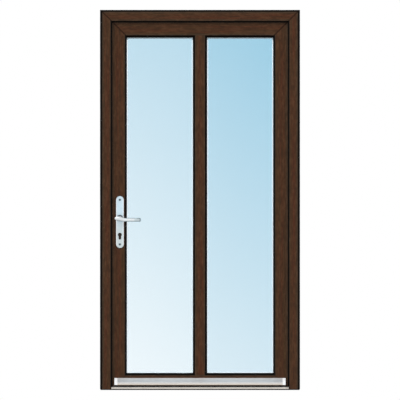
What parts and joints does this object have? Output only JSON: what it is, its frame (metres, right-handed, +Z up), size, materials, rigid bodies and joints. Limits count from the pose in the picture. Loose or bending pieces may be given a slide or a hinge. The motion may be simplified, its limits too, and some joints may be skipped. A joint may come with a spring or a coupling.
{
  "type": "front door",
  "caption": "Hinged front door in its frame, with brown woodgrain-foil profiles, tall glass panes, a lever handle, multi-point lock, weather bar and low threshold; opens inwards.",
  "frame": {"origin": "middle of the underside, at the middle of the frame's depth", "axes": "+X across the doorway towards the hinges, +Y through the wall to the inside, +Z up"},
  "size_m": [1.1, 0.186, 2.1],
  "materials": {
    "brown_foil": "dark brown woodgrain foil",
    "black_rubber": "matt black gasket",
    "black_foam": "matt black foam seal",
    "black_sealant": "dark glass sealant",
    "black_brush": "black bristle",
    "clear_glass": "clear glass, pale blue",
    "bright_spacer": "bright spacer bar",
    "aluminium": "satin aluminium",
    "grey_plastic": "dark grey plastic",
    "white_plastic": "white end cap",
    "lock_steel": "satin zinc steel",
    "handle_metal": "satin silver",
    "cylinder_dark": "dark key cylinder",
    "hinge_brown": "brown painted"
  },
  "bodies": {
    "frame": {"frame_head": "brown_foil", "frame_jamb_lock": "brown_foil", "frame_jamb_hinge": "brown_foil", "threshold": "aluminium", "threshold_base": "grey_plastic", "base_strip": "black_foam", "seal_head": "black_foam", "seal_lock_side": "black_foam", "seal_hinge_side": "black_foam", "frame_gasket": "black_rubber", "keep_top": "lock_steel", "keep_centre": "lock_steel", "keep_bottom": "lock_steel", "hinge_frame_top": "hinge_brown", "hinge_frame_middle": "hinge_brown", "hinge_frame_bottom": "hinge_brown"},
    "leaf": {"beads_level": "brown_foil", "beads_upright": "brown_foil", "brush_seal": "black_brush", "dead_bolt": "lock_steel", "edge_sealant": "black_sealant", "gaskets_inner": "black_rubber", "gaskets_outer": "black_rubber", "glass_spacers": "bright_spacer", "hinge_leaf_bottom": "hinge_brown", "hinge_leaf_middle": "hinge_brown", "hinge_leaf_top": "hinge_brown", "hook_bolts": "lock_steel", "latch_bolt": "lock_steel", "leaf_gasket": "black_rubber", "leaf_mullion": "brown_foil", "leaf_rail_bottom": "brown_foil", "leaf_rail_top": "brown_foil", "leaf_stile_hinge": "brown_foil", "leaf_stile_lock": "brown_foil", "lock_case": "lock_steel", "lock_cylinder": "cylinder_dark", "lock_forend": "lock_steel", "panes_inner": "clear_glass", "panes_outer": "clear_glass", "plate_inside": "handle_metal", "plate_outside": "handle_metal", "weather_bar": "aluminium", "weather_bar_caps": "white_plastic"},
    "handle": {"lever_outside": "handle_metal", "lever_inside": "handle_metal", "spindle": "lock_steel", "follower": "lock_steel"}
  },
  "joints": [
    {"name": "door_swing", "type": "hinge", "parent": "frame", "child": "leaf", "pos_m": [0.53, 0.066, 1.05], "axis": [0, 0, -1], "range_deg": [0, 105]},
    {"name": "handle_turn", "type": "hinge", "parent": "leaf", "child": "handle", "pos_m": [-0.443, 0.0255, 0.95], "axis": [0, 1, 0], "range_deg": [0, 40], "stiffness_Nm_per_rad": 1.5, "springref_deg": -28.65}
  ]
}
